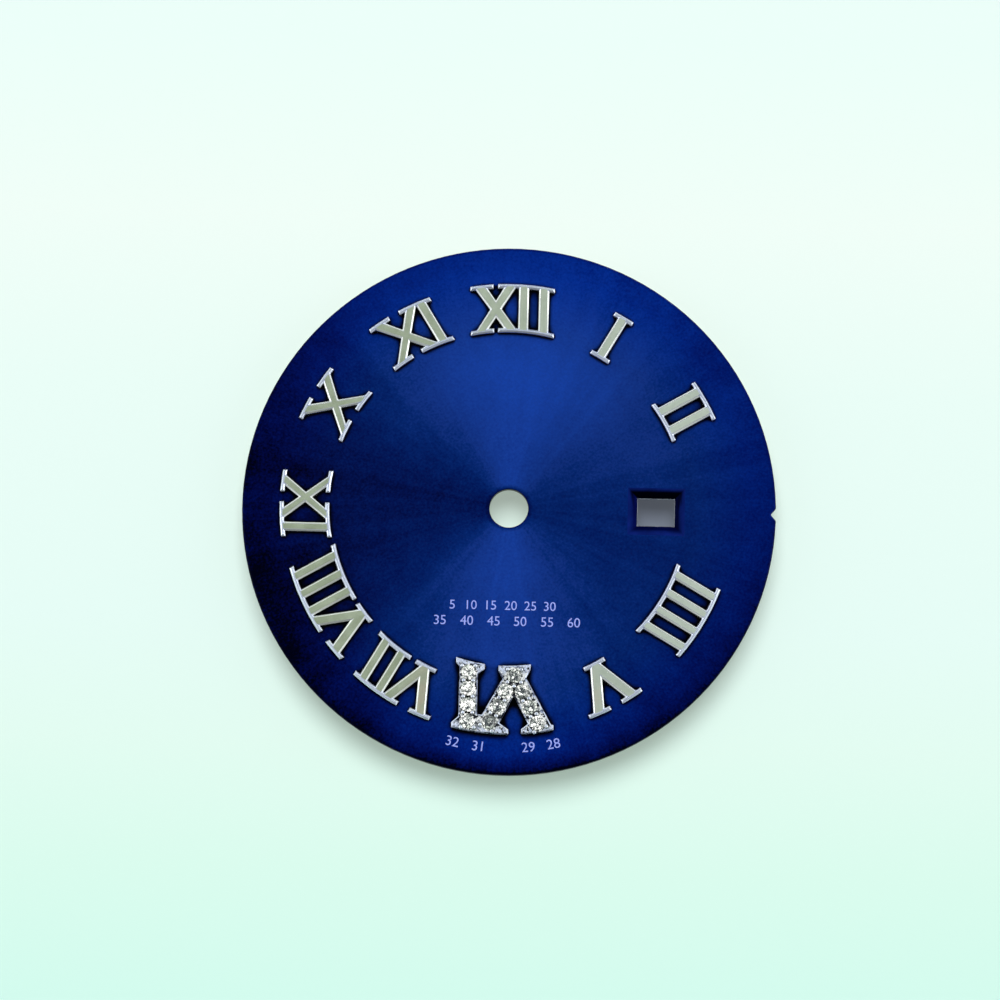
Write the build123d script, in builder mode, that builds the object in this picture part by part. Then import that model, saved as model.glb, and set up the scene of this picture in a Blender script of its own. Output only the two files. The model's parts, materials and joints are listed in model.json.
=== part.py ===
from build123d import *
from math import atan, cos, degrees, hypot, radians, sin, sqrt, tan
import os

# A watch dial: a lacquered brass plate with riveted Roman numerals, a stone-set numeral at six o'clock
# and two feet on its back. All lengths are millimetres. The origin is the centre of the hand hole on
# the back face, +Z is the front, +Y is twelve o'clock and +X is three o'clock.

# Plate
plate_radius = 16.5
plate_thickness = 0.5
rim_chamfer = 0.1
centre_hole_radius = 1.2
centre_hole_chamfer = 0.06
cut_overrun = 0.5

# Notch in the rim at three o'clock
notch_depth = 0.29
notch_flank_angle = 48
notch_root_radius = 0.15
notch_lip_radius = 0.2

# Date window at three o'clock, with a bevelled frame pressed into the plate
window_centre_radius = 9.1
window_width = 2.26
window_height = 1.68
window_bevel = 0.55
window_land = 0.07

# Applied numerals, on the ring between two radii; widths are shares of the ring's arc for one hour
numeral_rim_margin = 2.45
numeral_height = 3.1
numeral_thickness = 0.35
numeral_bevel = 0.1
serif_thickness = 0.29
serif_overhang_share = 0.0535
stem_share = 0.0993
narrow_stem_share = 0.0886
diagonal_share = 0.1161
narrow_diagonal_share = 0.1039
rivet_radius = 0.18
rivet_clearance = 0.02
rivet_recess = 0.03
rivet_sides = 12

# How far each numeral stands from its place on the ring, as riveted: clockwise, then outwards
numeral_shifts = {
    1: (-0.11, -0.02),
    2: (-0.09, -0.05),
    4: (-0.01, -0.06),
    5: (-0.05, -0.04),
    7: (0.04, 0),
    8: (0.06, -0.04),
    9: (0.04, 0.12),
    10: (0.01, 0.16),
    11: (-0.06, 0.17),
    12: (-0.13, 0.1),
}

# Stone-set numeral at six o'clock: a column of stones and a V that opens outwards
setting_hour = 6
setting_reach = 1.1
setting_thickness = 0.6
setting_bevel = 0.07
setting_serif_thickness = 0.3
setting_serif_length = 1.96
setting_serif_shift = 0.2
setting_stroke_width = 1.13
setting_foot_width = 1.4
setting_bridge_depth = 1.1
long_bracket = 0.56
bracket = 0.44
short_bracket = 0.25
bracket_bite = 0.1
leg_bracket_bite = 0.3
foot_bracket_bite = 0.02
column_across = 2.2
vee_across = -0.6
column_margin = 0.46
vee_margin = 0.62
column_pitch = 0.985
vee_pitch = 1.07
vee_step = 0.49
wall_cut_radius = 0.12
wall_cut_depth = 0.35
wall_cut_sides = 6
bead_radius = 0.14
bead_bite = 0.03
bead_sink = 0.02
bead_sides = 8
bead_ring_angles = (-40, 0, 40, 70)
end_bead_angle = 45

# Stones, cut as round brilliants
stone_radius = 0.46
stones_in_row = 4
table_share = 0.57
star_share = 0.5
lower_half_share = 0.77
crown_angle = 34.5
pavilion_angle = 40.8
culet_share = 0.02
girdle_thickness = 0.03
girdle_drop = 0.02
stone_clearance = 0.015
seat_angle = 45
drill_radius = 0.13

# Feet on the back, brazed into shallow spotfaces
foot_hours = {"a": 1.5, "b": 7.5}
foot_ring_gap = 0.95
foot_radius = 0.35
foot_length = 2.0
foot_tip_chamfer = 0.08
flange_radius = 0.6
flange_thickness = 0.14
flange_clearance = 0.03

# Rings and levels that follow from them
numeral_outer_radius = plate_radius - numeral_rim_margin
numeral_inner_radius = numeral_outer_radius - numeral_height
setting_inner_radius = numeral_inner_radius - setting_reach
foot_circle_radius = numeral_inner_radius - foot_ring_gap
hour_angle = 360 / 12
hour_arc = radians(hour_angle) * (numeral_outer_radius + numeral_inner_radius) / 2

# Each stroke of a numeral runs from its outer end to its inner end, and each end's place across the
# hour axis is a share of the hour's arc, positive clockwise round the dial. A serif joins the
# strokes that it names, from the first to the last at that end. The rivets stand under two strokes.
wide_shares = (stem_share, diagonal_share)
narrow_shares = (narrow_stem_share, narrow_diagonal_share)
rivet_place_share = 0.78
numerals = {
    1: {
        "widths_shares": wide_shares,
        "strokes_shares": ((0, 0),),
        "outer_serifs": ((0, 0),),
        "inner_serifs": ((0, 0),),
        "rivets": (0, 0),
    },
    2: {
        "widths_shares": wide_shares,
        "strokes_shares": ((-0.1014, -0.1014), (0.1014, 0.1014)),
        "outer_serifs": ((0, 1),),
        "inner_serifs": ((0, 1),),
        "rivets": (0, 1),
    },
    4: {
        "widths_shares": narrow_shares,
        "strokes_shares": ((-0.27, -0.27), (-0.0853, -0.0853), (0.0985, 0.0985), (0.2842, 0.2842)),
        "outer_serifs": ((0, 3),),
        "inner_serifs": ((0, 3),),
        "rivets": (0, 3),
    },
    5: {
        "widths_shares": wide_shares,
        "strokes_shares": ((-0.1483, 0.0161), (0.1871, 0.0161)),
        "outer_serifs": ((0, 0), (1, 1)),
        "inner_serifs": ((0, 1),),
        "rivets": (0, 1),
    },
    7: {
        "widths_shares": narrow_shares,
        "strokes_shares": ((-0.3088, -0.1284), (0.0213, -0.1284), (0.1307, 0.1307), (0.3131, 0.3131)),
        "outer_serifs": ((0, 0), (1, 3)),
        "inner_serifs": ((0, 1), (2, 3)),
        "rivets": (0, 3),
    },
    8: {
        "widths_shares": narrow_shares,
        "strokes_shares": (
            (-0.4111, -0.2368),
            (-0.0933, -0.2368),
            (0.0166, 0.0166),
            (0.1961, 0.1961),
            (0.3761, 0.3761),
        ),
        "outer_serifs": ((0, 0), (1, 4)),
        "inner_serifs": ((0, 1), (2, 4)),
        "rivets": (0, 4),
    },
    9: {
        "widths_shares": narrow_shares,
        "strokes_shares": ((-0.234, -0.234), (-0.0999, 0.2008), (0.2032, -0.1023)),
        "outer_serifs": ((0, 1), (2, 2)),
        "inner_serifs": ((0, 2), (1, 1)),
        "rivets": (0, 2),
    },
    10: {
        "widths_shares": wide_shares,
        "strokes_shares": ((-0.1866, 0.1558), (0.1573, -0.1771)),
        "outer_serifs": ((0, 0), (1, 1)),
        "inner_serifs": ((1, 1), (0, 0)),
        "rivets": (0, 0),
    },
    11: {
        "widths_shares": wide_shares,
        "strokes_shares": ((-0.2283, 0.1132), (0.0985, -0.2004), (0.2155, 0.2307)),
        "outer_serifs": ((0, 0), (1, 2)),
        "inner_serifs": ((1, 1), (0, 2)),
        "rivets": (0, 2),
    },
    12: {
        "widths_shares": wide_shares,
        "strokes_shares": ((-0.2894, -0.0161), (-0.0251, -0.2719), (0.1132, 0.1132), (0.305, 0.305)),
        "outer_serifs": ((0, 0), (1, 3)),
        "inner_serifs": ((1, 1), (0, 3)),
        "rivets": (0, 3),
    },
}


def hour_plane(hour, height):
    # local Y points outwards along the hour, local X clockwise round the dial
    return Plane.XY.offset(height).rotated((0, 0, -hour_angle * hour))


def numeral_plane(hour, height):
    # the hour's plane, set over by as much as its numeral stands from its place
    plane = hour_plane(hour, height)
    return plane.shift_origin(plane.from_local_coords(Vector(*numeral_shifts[hour])))


def on_ring(ring_radius, across):
    # the point of a ring at a place across the hour axis
    return across, sqrt(ring_radius**2 - across**2)


def add_stroke(outer_end, inner_end, outer_ring, inner_ring, width):
    # a straight stroke, of constant width across the hour axis, between two rings
    half = width / 2
    Polygon(
        on_ring(outer_ring, outer_end - half),
        on_ring(outer_ring, outer_end + half),
        on_ring(inner_ring, inner_end + half),
        on_ring(inner_ring, inner_end - half),
        align=None,
    )


def serif_bar(left, right, outer_ring, inner_ring):
    # a bar that follows the dial between two rings
    middle = (left + right) / 2
    with BuildSketch() as bar:
        with BuildLine():
            ThreePointArc(on_ring(outer_ring, left), on_ring(outer_ring, middle), on_ring(outer_ring, right))
            Line(on_ring(outer_ring, right), on_ring(inner_ring, right))
            ThreePointArc(on_ring(inner_ring, right), on_ring(inner_ring, middle), on_ring(inner_ring, left))
            Line(on_ring(inner_ring, left), on_ring(outer_ring, left))
        make_face()
    return bar.sketch


def add_bracket(serif_ring, end_ring, tip, inside):
    # a slope that runs from a serif's tip, at the ring of its free edge, into the stroke
    run_on = setting_serif_thickness / 2
    middle_ring = serif_ring - run_on if end_ring > serif_ring else serif_ring + run_on
    Polygon(
        on_ring(middle_ring, tip),
        on_ring(serif_ring, tip),
        on_ring(end_ring, inside),
        on_ring(middle_ring, inside),
        align=None,
    )


def numeral_strokes(numeral):
    # the ends of each centre line, at the serifs' edges, and the stroke's width: leaning ones are diagonals
    strokes = []
    for outer_share, inner_share in numeral["strokes_shares"]:
        leaning = abs(outer_share - inner_share) > stem_share / 2
        width_share = numeral["widths_shares"][leaning]
        strokes.append(((outer_share * hour_arc, inner_share * hour_arc), width_share * hour_arc))
    return strokes


def rivet_points(numeral):
    # one rivet near the outer end of one stroke, the other near the inner end of another
    strokes = numeral_strokes(numeral)
    points = []
    for index, share in zip(numeral["rivets"], (rivet_place_share, 1 - rivet_place_share)):
        outer_end, inner_end = strokes[index][0]
        across = inner_end + (outer_end - inner_end) * share
        points.append((across, numeral_inner_radius + numeral_height * share))
    return points


def add_numeral_outline(numeral):
    # strokes run to the middle of the serifs, so that both join over half a serif's thickness
    outer_edge = numeral_outer_radius - serif_thickness
    inner_edge = numeral_inner_radius + serif_thickness
    serif_overhang = serif_overhang_share * hour_arc
    strokes = numeral_strokes(numeral)
    for (outer_end, inner_end), width in strokes:
        run_on = (outer_end - inner_end) / (outer_edge - inner_edge) * serif_thickness / 2
        add_stroke(
            outer_end + run_on,
            inner_end - run_on,
            outer_edge + serif_thickness / 2,
            inner_edge - serif_thickness / 2,
            width,
        )
    for end, key, outer_ring in ((0, "outer_serifs", numeral_outer_radius), (1, "inner_serifs", inner_edge)):
        for first, last in numeral[key]:
            left = strokes[first][0][end] - strokes[first][1] / 2 - serif_overhang
            right = strokes[last][0][end] + strokes[last][1] / 2 + serif_overhang
            add(serif_bar(left, right, outer_ring, outer_ring - serif_thickness))


# Stones of the six o'clock numeral, in its own local frame
column_foot = Vector(column_across, setting_inner_radius + column_margin)
vee_foot = Vector(vee_across, setting_inner_radius + vee_margin)
vee_rise = sqrt(vee_pitch**2 - vee_step**2)
column_stones = [column_foot + Vector(0, column_pitch) * row for row in range(stones_in_row)]
right_leg_stones = [vee_foot + Vector(vee_step, vee_rise) * row for row in range(stones_in_row)]
left_leg_stones = [vee_foot + Vector(-vee_step, vee_rise) * row for row in range(stones_in_row)]
stone_points = column_stones + right_leg_stones + left_leg_stones[1:]
setting_rivet_points = [
    (column_stones[0] + column_stones[1]) * 0.5,
    (column_stones[2] + column_stones[3]) * 0.5,
    (left_leg_stones[2] + left_leg_stones[3]) * 0.5,
]


def bead_points():
    # beads at both sides of every gap between stones, and two past the end of every row
    reach = stone_radius + bead_radius - bead_bite
    wanted = [(vee_foot + right_leg_stones[1] + left_leg_stones[1]) * (1 / 3)]
    ends = [(column_stones[0], Vector(0, -1)), (vee_foot, Vector(0, -1))]
    for row in (column_stones, right_leg_stones, left_leg_stones):
        along = (row[1] - row[0]).normalized()
        half_gap = (row[1] - row[0]).length / 2
        aside = along.rotate(Axis.Z, 90) * sqrt(max(reach**2 - half_gap**2, 0))
        for stone in row[:-1]:
            wanted += [stone + along * half_gap + aside, stone + along * half_gap - aside]
        ends.append((row[-1], along))
    for stone, along in ends:
        wanted += [stone + along.rotate(Axis.Z, turn) * reach for turn in (end_bead_angle, -end_bead_angle)]
    kept = []
    for point in wanted:
        if all((point - other).length > 2 * bead_radius for other in kept):
            kept.append(point)
    return kept


def wall_cut_points():
    # in the setting's walls, level with the gaps between stones, but not where two strokes meet
    wanted = []
    for row in (column_stones, right_leg_stones, left_leg_stones):
        aside = (row[1] - row[0]).normalized().rotate(Axis.Z, 90) * (setting_stroke_width / 2)
        for inner, outer in zip(row[:-1], row[1:]):
            wanted += [(inner + outer) * 0.5 + aside, (inner + outer) * 0.5 - aside]
    least = stone_radius + wall_cut_radius
    return [point for point in wanted if all((point - stone).length > least for stone in stone_points)]


def facet_band(sides, turn, low, low_radius, high, high_radius):
    # a block with flat sides from one level to another, its radii to the corners; it is drawn narrowing
    # upwards, and turned over where it widens
    lean = degrees(atan(abs(low_radius - high_radius) * cos(radians(180 / sides)) / (high - low)))
    with BuildPart() as band:
        with BuildSketch(Plane.XY.offset(low)):
            RegularPolygon(max(low_radius, high_radius), sides, rotation=turn)
        extrude(amount=high - low, taper=lean)
        if low_radius < high_radius:
            mirror(about=Plane.XY.offset((low + high) / 2), mode=Mode.REPLACE)
    return band.part


def facet_block(sides, turn, *rings):
    # flat-sided bands through rings, each given by its level and the radius to its corners
    with BuildPart() as block:
        for lower, upper in zip(rings[:-1], rings[1:]):
            add(facet_band(sides, turn, *lower, *upper))
    return block.part


# Brilliant cut, worked out from its angles and shares
main_facets = 8
girdle_sides = 2 * main_facets
half_main = 180 / main_facets
corner = cos(radians(half_main))
half_girdle = girdle_thickness / 2
table_radius = stone_radius * table_share
crown_height = (stone_radius - table_radius) * tan(radians(crown_angle))
star_radius = table_radius * corner + (stone_radius - table_radius * corner) * star_share
star_height = (stone_radius - star_radius * corner) * tan(radians(crown_angle))
lower_half_radius = stone_radius * (1 - lower_half_share)
lower_half_depth = (stone_radius - lower_half_radius * corner) * tan(radians(pavilion_angle))
culet_radius = stone_radius * culet_share
culet_depth = (stone_radius - culet_radius) * tan(radians(pavilion_angle))
half_lean = (stone_radius - star_radius) / star_height
star_lean = (star_radius / corner - table_radius) / (crown_height - star_height)
lower_half_lean = (stone_radius - lower_half_radius) / lower_half_depth
table_level = half_girdle + crown_height
culet_level = -half_girdle - culet_depth

crown_halves_radius = stone_radius - half_lean * crown_height
crown_stars_radius = table_radius + star_lean * crown_height
pavilion_halves_radius = stone_radius - lower_half_lean * culet_depth

with BuildPart() as crown:
    add(facet_block(girdle_sides, 0, (half_girdle, stone_radius), (table_level, crown_halves_radius)))
    mains_rings = ((half_girdle, stone_radius / corner), (table_level, table_radius / corner))
    stars_rings = ((half_girdle, crown_stars_radius), (table_level, table_radius))
    add(facet_block(main_facets, half_main, *mains_rings), mode=Mode.INTERSECT)
    add(facet_block(main_facets, 0, *stars_rings), mode=Mode.INTERSECT)

with BuildPart() as pavilion:
    add(facet_block(girdle_sides, 0, (culet_level, pavilion_halves_radius), (-half_girdle, stone_radius)))
    mains_rings = ((culet_level, culet_radius), (-half_girdle, stone_radius / corner))
    add(facet_block(main_facets, half_main, *mains_rings), mode=Mode.INTERSECT)

with BuildPart() as brilliant:
    with BuildSketch(Plane.XY.offset(-half_girdle)):
        RegularPolygon(stone_radius, girdle_sides)
    extrude(amount=girdle_thickness)
    add(crown.part)
    add(pavilion.part)

# Tool for a stone's seat: drilled through, bored at an angle, grooved round the girdle, and open above
groove_radius = stone_radius + 2 * stone_clearance + half_girdle / tan(radians(seat_angle))
bore_depth = (groove_radius - drill_radius) * tan(radians(seat_angle))
mouth_radius = star_radius + stone_clearance
mouth_level = half_girdle + star_height + stone_clearance
seat_tool = facet_block(
    girdle_sides,
    0,
    (-setting_thickness, drill_radius),
    (-bore_depth, drill_radius),
    (0, groove_radius),
    (mouth_level, mouth_radius),
    (mouth_level + cut_overrun, mouth_radius),
)

# Bead of the setting, raised from its top face
bead_rings = [
    (bead_radius * sin(radians(angle)) - bead_sink, bead_radius * cos(radians(angle)))
    for angle in bead_ring_angles
]
bead = facet_block(bead_sides, half_main, *bead_rings)


def write_piece(piece, name):
    piece.part.label = name
    export_step(piece.part, f"parts/{name}.step")


os.makedirs("parts", exist_ok=True)

# Dial plate
notch_root_set_back = notch_root_radius * (1 / sin(radians(notch_flank_angle)) - 1)
notch_point = plate_radius - notch_depth - notch_root_set_back
notch_run = notch_depth + notch_root_set_back + cut_overrun
with BuildPart() as dial_plate:
    with BuildSketch() as blank:
        Circle(plate_radius)
        with BuildSketch(mode=Mode.SUBTRACT) as notch:
            half_mouth = notch_run * tan(radians(notch_flank_angle))
            Polygon(
                (notch_point, 0),
                (notch_point + notch_run, -half_mouth),
                (notch_point + notch_run, half_mouth),
                align=None,
            )
            fillet(notch.vertices().sort_by(Axis.X)[0], notch_root_radius)
        lips = blank.vertices().filter_by(lambda v: abs(hypot(v.X, v.Y) - plate_radius) < notch_depth / 50)
        fillet(lips.sort_by(Axis.X)[-2:], notch_lip_radius)
    extrude(amount=plate_thickness)
    chamfer(dial_plate.edges().group_by(Axis.Z)[-1], rim_chamfer)
    with Locations((0, 0, plate_thickness)):
        CounterSinkHole(centre_hole_radius, centre_hole_radius + centre_hole_chamfer, counter_sink_angle=90)
    with BuildSketch(Plane.XY):
        with Locations((window_centre_radius, 0)):
            Rectangle(window_width, window_height)
    extrude(amount=plate_thickness, mode=Mode.SUBTRACT)
    with BuildSketch(Plane.XY.offset(window_land)):
        with Locations((window_centre_radius, 0)):
            Rectangle(window_width, window_height)
    with BuildSketch(Plane.XY.offset(plate_thickness)):
        with Locations((window_centre_radius, 0)):
            Rectangle(window_width + 2 * window_bevel, window_height + 2 * window_bevel)
    loft(mode=Mode.SUBTRACT)
    for hour, numeral in numerals.items():
        with BuildSketch(numeral_plane(hour, 0)):
            with Locations(*rivet_points(numeral)):
                RegularPolygon(rivet_radius + rivet_clearance, rivet_sides)
        extrude(amount=plate_thickness, mode=Mode.SUBTRACT)
    with BuildSketch(hour_plane(setting_hour, 0)):
        with Locations(*setting_rivet_points):
            RegularPolygon(rivet_radius + rivet_clearance, rivet_sides)
    extrude(amount=plate_thickness, mode=Mode.SUBTRACT)
    for hour in foot_hours.values():
        with BuildSketch(hour_plane(hour, 0)):
            with Locations((0, foot_circle_radius)):
                Circle(flange_radius + flange_clearance)
        extrude(amount=flange_thickness, mode=Mode.SUBTRACT)
write_piece(dial_plate, "dial_plate")

# Applied numerals
for hour, numeral in numerals.items():
    with BuildPart() as applied_numeral:
        with BuildSketch(numeral_plane(hour, plate_thickness)):
            add_numeral_outline(numeral)
        extrude(amount=numeral_thickness)
        chamfer(applied_numeral.faces().sort_by(Axis.Z)[-1].edges(), numeral_bevel)
        with BuildSketch(numeral_plane(hour, rivet_recess)):
            with Locations(*rivet_points(numeral)):
                RegularPolygon(rivet_radius, rivet_sides)
        extrude(amount=plate_thickness - rivet_recess)
    write_piece(applied_numeral, f"numeral_{hour}")

# Setting of the six o'clock numeral
serif_half = setting_serif_length / 2
leg_width = setting_stroke_width * vee_pitch / vee_rise
setting_top = plate_thickness + setting_thickness
girdle_level = setting_top - girdle_drop - half_girdle
outer_stroke_ring = numeral_outer_radius - setting_serif_thickness / 2
inner_stroke_ring = setting_inner_radius + setting_serif_thickness / 2
inner_serif_ring = setting_inner_radius + setting_serif_thickness
outer_serif_ring = numeral_outer_radius - setting_serif_thickness
bridge_ring = numeral_outer_radius - setting_bridge_depth
left_end = left_leg_stones[-1].X
right_end = right_leg_stones[-1].X
foot_tips = (vee_across - serif_half, vee_across + serif_half)
left_tips = (left_end - serif_half, left_end + serif_half)
column_inner_tips = (column_across - serif_half, column_across + serif_half - setting_serif_shift)
outer_tips = (right_end - serif_half - setting_serif_shift, column_across + serif_half)
setting_bars = (
    (*column_inner_tips, inner_serif_ring, setting_inner_radius),
    (*foot_tips, inner_serif_ring, setting_inner_radius),
    (*left_tips, numeral_outer_radius, outer_serif_ring),
    (*outer_tips, numeral_outer_radius, outer_serif_ring),
    (right_end, column_across, numeral_outer_radius, bridge_ring),
)

# Brackets between serifs and strokes: the place of the serif's tip, and of the stroke's side
column_side = setting_stroke_width / 2 - bracket_bite
leg_side = leg_width / 2 - leg_bracket_bite
foot_side = setting_foot_width / 2 - foot_bracket_bite
inner_brackets = (
    (column_inner_tips[0], column_across - column_side, bracket),
    (column_inner_tips[1], column_across + column_side, short_bracket),
    (foot_tips[0], vee_across - foot_side, long_bracket),
    (foot_tips[1], vee_across + foot_side, long_bracket),
)
outer_brackets = (
    (left_tips[0], left_end - leg_side, short_bracket),
    (left_tips[1], left_end + leg_side, bracket),
    (outer_tips[0], right_end - leg_side, long_bracket),
    (outer_tips[1], column_across + column_side, long_bracket),
)
with BuildPart() as setting:
    with BuildSketch(hour_plane(setting_hour, plate_thickness)):
        add_stroke(column_across, column_across, outer_stroke_ring, inner_stroke_ring, setting_stroke_width)
        add_stroke(vee_across, vee_across, vee_foot.Y + stone_radius, inner_stroke_ring, setting_foot_width)
        for leg in (right_leg_stones, left_leg_stones):
            lean = (leg[-1].X - leg[0].X) / (leg[-1].Y - leg[0].Y)
            outer_end = leg[-1].X + (outer_stroke_ring - leg[-1].Y) * lean
            add_stroke(outer_end, leg[0].X, outer_stroke_ring, vee_foot.Y, leg_width)
        for bar in setting_bars:
            add(serif_bar(*bar))
        for tip, inside, rise in inner_brackets:
            add_bracket(inner_serif_ring, inner_serif_ring + rise, tip, inside)
        for tip, inside, rise in outer_brackets:
            add_bracket(outer_serif_ring, outer_serif_ring - rise, tip, inside)
    extrude(amount=setting_thickness)
    chamfer(setting.faces().sort_by(Axis.Z)[-1].edges(), setting_bevel)
    with BuildSketch(hour_plane(setting_hour, rivet_recess)):
        with Locations(*setting_rivet_points):
            RegularPolygon(rivet_radius, rivet_sides)
    extrude(amount=plate_thickness - rivet_recess)
with BuildPart(hour_plane(setting_hour, setting_top)) as beads:
    with Locations(*bead_points()):
        add(bead)
with BuildPart(hour_plane(setting_hour, girdle_level)) as seats:
    with Locations(*stone_points):
        add(seat_tool)
with BuildPart() as wall_cuts:
    with BuildSketch(hour_plane(setting_hour, setting_top - wall_cut_depth)):
        with Locations(*wall_cut_points()):
            RegularPolygon(wall_cut_radius, wall_cut_sides)
    extrude(amount=wall_cut_depth + cut_overrun)
with BuildPart() as numeral_setting:
    add(setting.part)
    add(wall_cuts.part, mode=Mode.SUBTRACT)
    add(beads.part)
    add(seats.part, mode=Mode.SUBTRACT)
write_piece(numeral_setting, "numeral_6_setting")

# Stones
for index, point in enumerate(stone_points):
    with BuildPart(hour_plane(setting_hour, girdle_level)) as stone:
        with Locations(point):
            add(brilliant.part)
    write_piece(stone, f"stone_{index + 1:02d}")

# Dial feet
for letter, hour in foot_hours.items():
    with BuildPart() as dial_foot:
        with BuildSketch(hour_plane(hour, 0)):
            with Locations((0, foot_circle_radius)):
                Circle(flange_radius)
        extrude(amount=flange_thickness)
        with BuildSketch(hour_plane(hour, 0)):
            with Locations((0, foot_circle_radius)):
                Circle(foot_radius)
        extrude(amount=-foot_length)
        chamfer(dial_foot.faces().sort_by(Axis.Z)[0].edges(), foot_tip_chamfer)
    write_piece(dial_foot, f"dial_foot_{letter}")
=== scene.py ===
import json
import math
import random

import bpy
import bmesh
from mathutils import Matrix, Vector

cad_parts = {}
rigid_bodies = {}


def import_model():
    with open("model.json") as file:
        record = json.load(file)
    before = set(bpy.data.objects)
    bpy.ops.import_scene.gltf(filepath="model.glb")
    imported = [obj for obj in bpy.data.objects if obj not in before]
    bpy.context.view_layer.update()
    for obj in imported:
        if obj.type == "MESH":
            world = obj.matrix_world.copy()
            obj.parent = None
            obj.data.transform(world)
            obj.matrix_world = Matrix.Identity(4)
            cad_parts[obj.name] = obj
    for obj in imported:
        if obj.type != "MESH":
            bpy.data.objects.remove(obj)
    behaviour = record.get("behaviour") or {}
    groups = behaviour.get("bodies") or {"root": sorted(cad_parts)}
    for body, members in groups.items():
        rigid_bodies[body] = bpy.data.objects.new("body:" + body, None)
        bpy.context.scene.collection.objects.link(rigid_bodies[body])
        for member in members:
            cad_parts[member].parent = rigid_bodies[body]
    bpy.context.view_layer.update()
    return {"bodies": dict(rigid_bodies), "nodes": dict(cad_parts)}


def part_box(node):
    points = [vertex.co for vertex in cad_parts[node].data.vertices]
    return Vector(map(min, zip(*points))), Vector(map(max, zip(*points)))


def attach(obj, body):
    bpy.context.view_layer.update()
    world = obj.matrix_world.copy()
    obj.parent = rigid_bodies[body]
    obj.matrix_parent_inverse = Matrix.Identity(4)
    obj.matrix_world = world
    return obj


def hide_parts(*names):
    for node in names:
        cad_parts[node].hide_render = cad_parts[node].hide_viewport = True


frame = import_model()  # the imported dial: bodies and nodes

# The dial lies flat with its back face at z = 0: +Z is the front, +Y twelve o'clock, +X three o'clock.
# Meshes are shaped in millimetres and scaled to metres at the end, so that fine bevels stay exact.
# Materials read metres.
mm = 0.001
nodes = frame["nodes"]
bodyName = next(iter(frame["bodies"]))
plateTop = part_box("dial_plate")[1].z / mm
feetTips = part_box("dial_foot_a")[0].z / mm
scene = bpy.context.scene
scene.view_settings.view_transform = "Standard"
print("frame loaded:", len(nodes), "nodes")


# Shader helpers

noiseSpread = (0.3, 0.7)  # nearly all of a noise texture's values lie between these


def newTree(name):
    material = bpy.data.materials.new(name)
    material.use_nodes = True
    material.node_tree.nodes.clear()
    return material, material.node_tree


def setSocket(tree, socket, value):
    # a value is another node's output, a colour without its alpha, a vector or a number
    if isinstance(value, bpy.types.NodeSocket):
        tree.links.new(value, socket)
    elif socket.type == "RGBA":
        socket.default_value = (*value, 1)
    else:
        socket.default_value = value


def addNode(tree, kind, values=None, **settings):
    node = tree.nodes.new(kind)
    for key, value in settings.items():
        setattr(node, key, value)
    for key, value in (values or {}).items():
        setSocket(tree, node.inputs[key], value)
    return node


def mathNode(tree, operation, *values, clamp=False):
    values = dict(enumerate(values))
    return addNode(tree, "ShaderNodeMath", values, operation=operation, use_clamp=clamp).outputs[0]


def mixColour(tree, factor, first, second, blend="MIX"):
    values = {0: factor, 6: first, 7: second}
    return addNode(tree, "ShaderNodeMix", values, data_type="RGBA", blend_type=blend).outputs[2]


def rangeNode(tree, value, low, high, newLow, newHigh):
    values = {0: value, 1: low, 2: high, 3: newLow, 4: newHigh}
    return addNode(tree, "ShaderNodeMapRange", values).outputs[0]


def noiseNode(tree, vector, scale, detail, roughness=0.5):
    values = {"Vector": vector, "Scale": scale, "Detail": detail, "Roughness": roughness}
    return addNode(tree, "ShaderNodeTexNoise", values).outputs["Fac"]


def toneRamp(tree, share, tones):
    ramp = addNode(tree, "ShaderNodeValToRGB", {0: share})
    elements = ramp.color_ramp.elements
    for index, (position, tone) in enumerate(tones):
        if 0 < index < len(tones) - 1:
            element = elements.new(position)
        else:
            element = elements[0 if index < 1 else -1]
            element.position = position
        element.color = (*tone, 1)
    return ramp.outputs[0]


def ownPlace(tree, title="Object"):
    # where a point lies on its own piece, or which way it faces
    return addNode(tree, "ShaderNodeTexCoord").outputs[title]


def splitVector(tree, vector):
    return addNode(tree, "ShaderNodeSeparateXYZ", {0: vector}).outputs


def flatPlace(tree):
    # the place without its height, and how far it lies from the middle of the hand hole
    flat = addNode(tree, "ShaderNodeVectorMath", {0: ownPlace(tree), 1: (1, 1, 0)}, operation="MULTIPLY")
    length = addNode(tree, "ShaderNodeVectorMath", {0: flat.outputs[0]}, operation="LENGTH")
    return flat.outputs[0], length.outputs["Value"]


def openShare(tree, distance, samples):
    # one in the open, and less where something stands within this distance
    return addNode(tree, "ShaderNodeAmbientOcclusion", {"Distance": distance}, samples=samples).outputs["AO"]


def principled(tree, values):
    shader = addNode(tree, "ShaderNodeBsdfPrincipled", values)
    addNode(tree, "ShaderNodeOutputMaterial", {"Surface": shader.outputs["BSDF"]})
    return shader


def addBump(tree, shader, height, distance, strength):
    values = {"Height": height, "Distance": distance, "Strength": strength}
    setSocket(tree, shader.inputs["Normal"], addNode(tree, "ShaderNodeBump", values).outputs["Normal"])


# Effects that several materials share

def newGroup(name, inputs, outputs, outputType="NodeSocketFloat"):
    group = bpy.data.node_groups.new(name, "ShaderNodeTree")
    for title, value in inputs.items():
        socket = group.interface.new_socket(title, in_out="INPUT", socket_type="NodeSocketFloat")
        socket.default_value = value
    for title in outputs:
        group.interface.new_socket(title, in_out="OUTPUT", socket_type=outputType)
    return group, group.nodes.new("NodeGroupInput").outputs, group.nodes.new("NodeGroupOutput").inputs


def useGroup(tree, group, **values):
    node = tree.nodes.new("ShaderNodeGroup")
    node.node_tree = group
    for key, value in values.items():
        setSocket(tree, node.inputs[key], value)
    return node.outputs


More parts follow.
